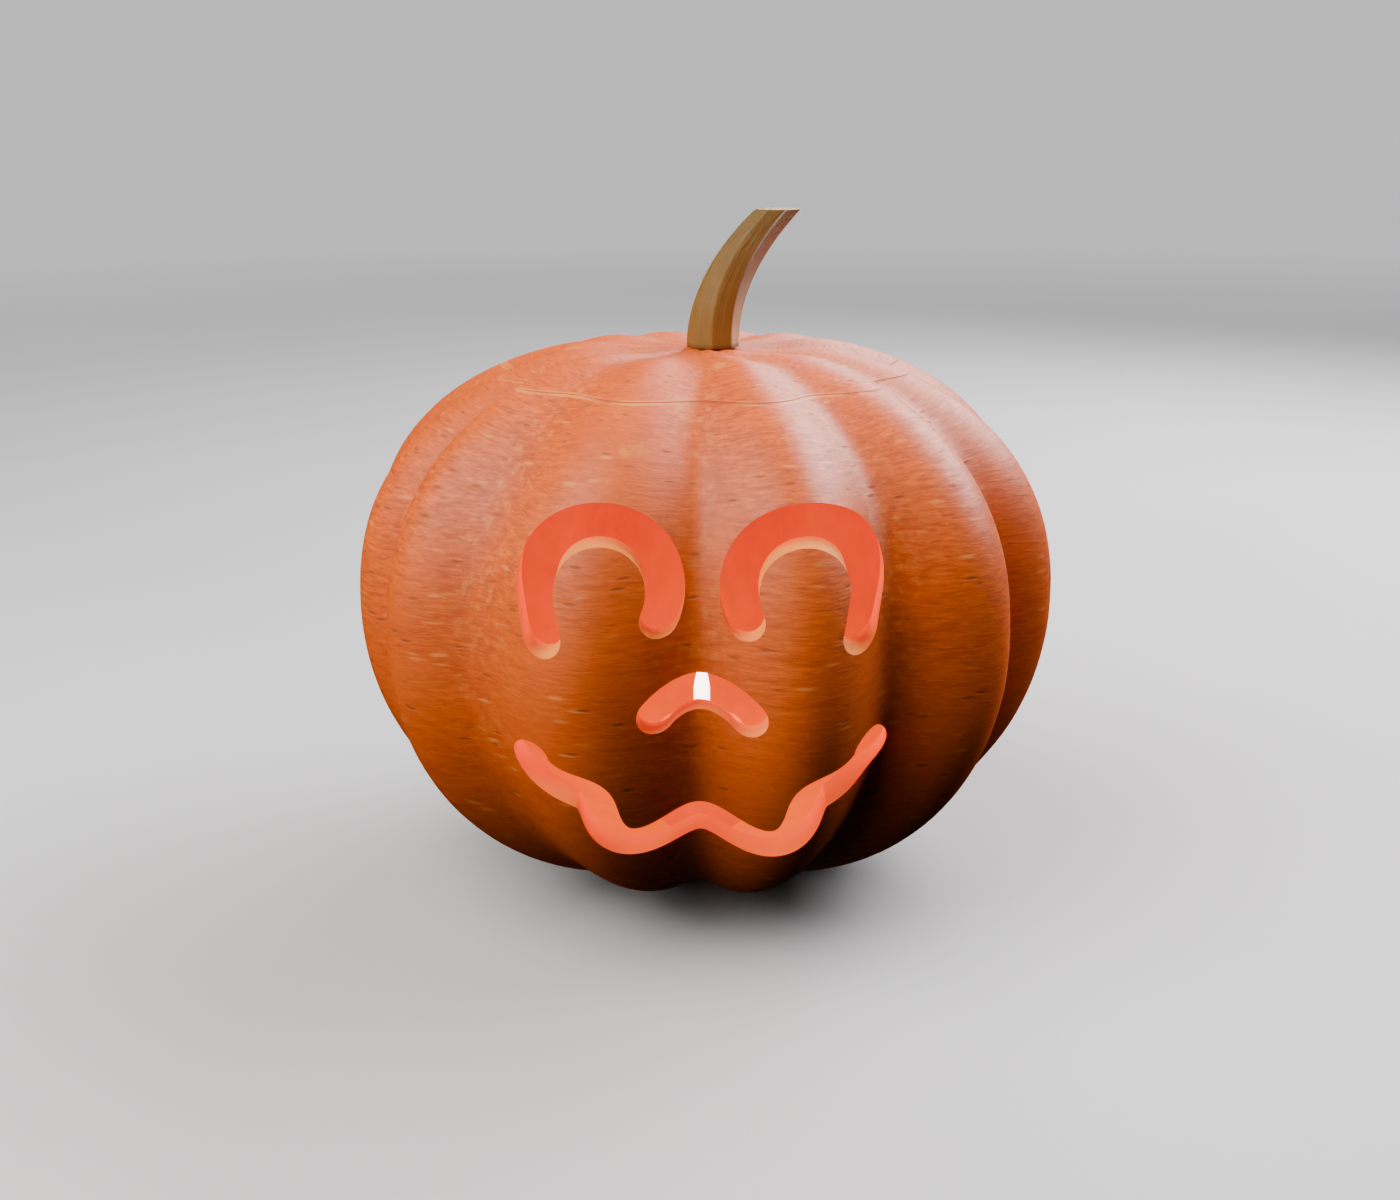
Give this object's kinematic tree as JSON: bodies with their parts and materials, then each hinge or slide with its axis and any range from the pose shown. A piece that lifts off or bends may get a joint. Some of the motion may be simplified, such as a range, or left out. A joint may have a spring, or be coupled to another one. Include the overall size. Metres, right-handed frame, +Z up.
{
  "type": "carved pumpkin lantern",
  "caption": "Hollow ribbed pumpkin with a face cut through its wall, a cut-out lid with a curved stem, and a lit candle inside.",
  "frame": {"origin": "on the pumpkin's upright axis, at the level of the surface it rests on", "axes": "+Z up, the carved face looks along -Y, and the stem leans towards +X"},
  "size_m": [0.2963, 0.2963, 0.2862],
  "materials": {
    "pumpkin_skin": "satin",
    "lid_skin": "satin",
    "stem_wood": "matte",
    "candle_wax": "satin",
    "wick_char": "matte",
    "flame": "gloss"
  },
  "bodies": {
    "root": {"pumpkin_shell": "pumpkin_skin", "pumpkin_lid": "lid_skin", "pumpkin_stem": "stem_wood", "candle": "candle_wax", "candle_wick": "wick_char", "candle_flame": "flame"}
  },
  "joints": []
}
